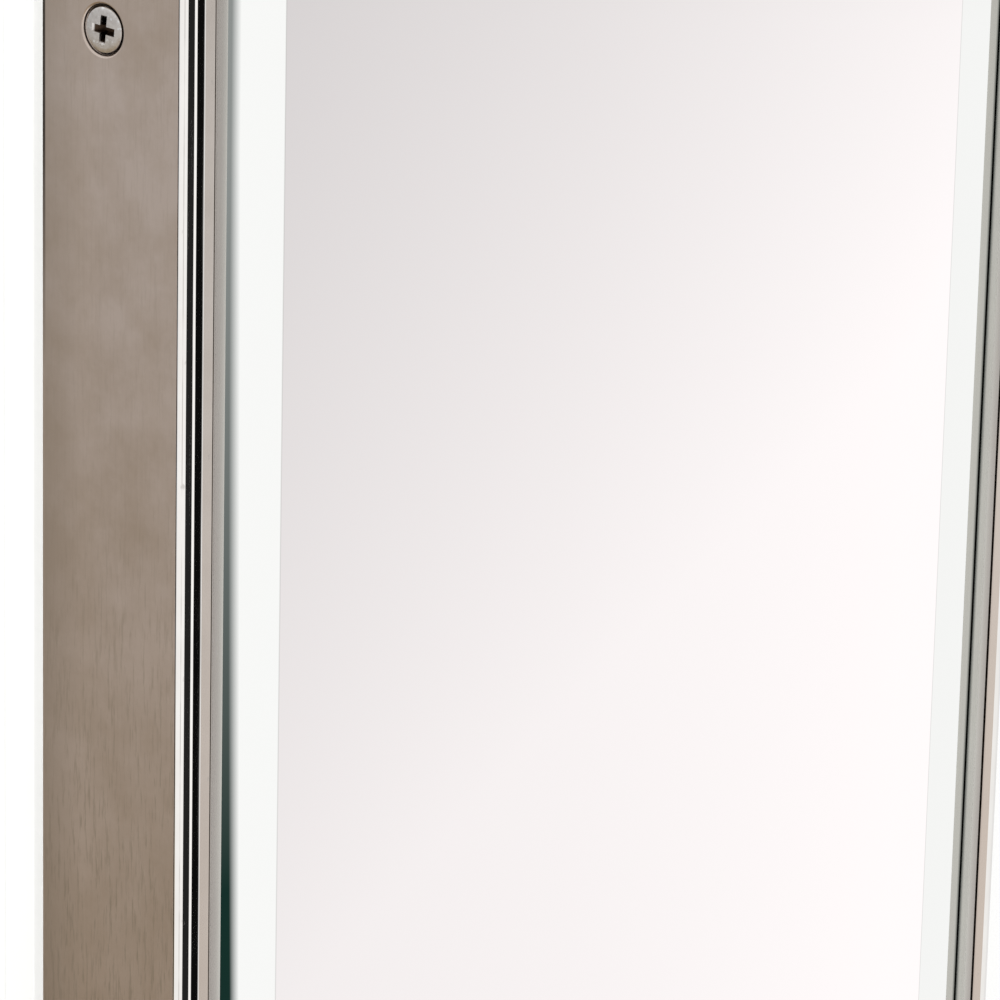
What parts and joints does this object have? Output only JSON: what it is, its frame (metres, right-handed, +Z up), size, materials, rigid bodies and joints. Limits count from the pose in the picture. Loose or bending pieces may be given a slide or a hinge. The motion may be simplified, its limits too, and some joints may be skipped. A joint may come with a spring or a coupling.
{
  "type": "medicine cabinet with mirror",
  "caption": "Recessed bathroom cabinet: a steel box with glass shelves behind a deep nickel-framed door with a bevelled mirror on a continuous side hinge.",
  "frame": {"origin": "middle of the wall opening, on the wall surface", "axes": "+Z up, +Y into the wall, +X to the right as the mirror is faced"},
  "size_m": [0.381, 0.1373, 0.66],
  "materials": {
    "satin_nickel": "satin nickel, fine vertical brushing, warm grey",
    "polished_nickel": "polished nickel, mirror bright",
    "mirror": "silvered float glass with a wide flat bevel and a faint green edge",
    "backing_board": "grey painted protective board behind the silvering",
    "white_steel": "white powder coat, fine orange peel",
    "zinc": "bright zinc-plated steel",
    "shelf_glass": "clear float glass with polished green edges",
    "white_plastic": "moulded white plastic",
    "magnet": "dark ferrite magnet"
  },
  "bodies": {
    "case": {"case_left": "white_steel", "case_top": "white_steel", "case_right": "white_steel", "case_bottom": "white_steel", "case_back": "white_steel", "shelf_lower": "shelf_glass", "shelf_rest_lower_left": "zinc", "shelf_rest_lower_right": "zinc", "shelf_middle": "shelf_glass", "shelf_rest_middle_left": "zinc", "shelf_rest_middle_right": "zinc", "shelf_upper": "shelf_glass", "shelf_rest_upper_left": "zinc", "shelf_rest_upper_right": "zinc", "catch_upper": "white_plastic", "catch_magnet_upper": "magnet", "stud_screw_left_upper": "zinc", "stud_screw_right_upper": "zinc", "catch_lower": "white_plastic", "catch_magnet_lower": "magnet", "stud_screw_left_lower": "zinc", "stud_screw_right_lower": "zinc", "hinge_leaf_case": "zinc", "hinge_pin": "zinc", "hinge_screw_1": "zinc", "hinge_screw_2": "zinc", "hinge_screw_3": "zinc", "hinge_screw_4": "zinc"},
    "door": {"door_frame_left": "satin_nickel", "trim_left": "polished_nickel", "mirror_retainer_left": "satin_nickel", "door_frame_top": "satin_nickel", "trim_top": "polished_nickel", "mirror_retainer_top": "satin_nickel", "door_frame_right": "satin_nickel", "trim_right": "polished_nickel", "mirror_retainer_right": "satin_nickel", "door_frame_bottom": "satin_nickel", "trim_bottom": "polished_nickel", "mirror_retainer_bottom": "satin_nickel", "strike_upper": "zinc", "side_screw_left_upper": "polished_nickel", "side_screw_right_upper": "polished_nickel", "strike_lower": "zinc", "side_screw_left_lower": "polished_nickel", "side_screw_right_lower": "polished_nickel", "hinge_leaf_door": "zinc", "mirror_glass": "mirror", "mirror_backing": "backing_board", "door_pan": "white_steel", "side_bar_left": "zinc", "mirror_channel_left": "zinc", "side_bar_right": "zinc", "mirror_channel_right": "zinc", "corner_plate_top_left": "zinc", "corner_plate_top_right": "zinc", "corner_plate_bottom_left": "zinc", "corner_plate_bottom_right": "zinc"}
  },
  "joints": [
    {"name": "door_hinge", "type": "hinge", "parent": "case", "child": "door", "pos_m": [0.1859, -0.0052, 0], "axis": [0, 0, 1], "range_deg": [0, 90]}
  ]
}
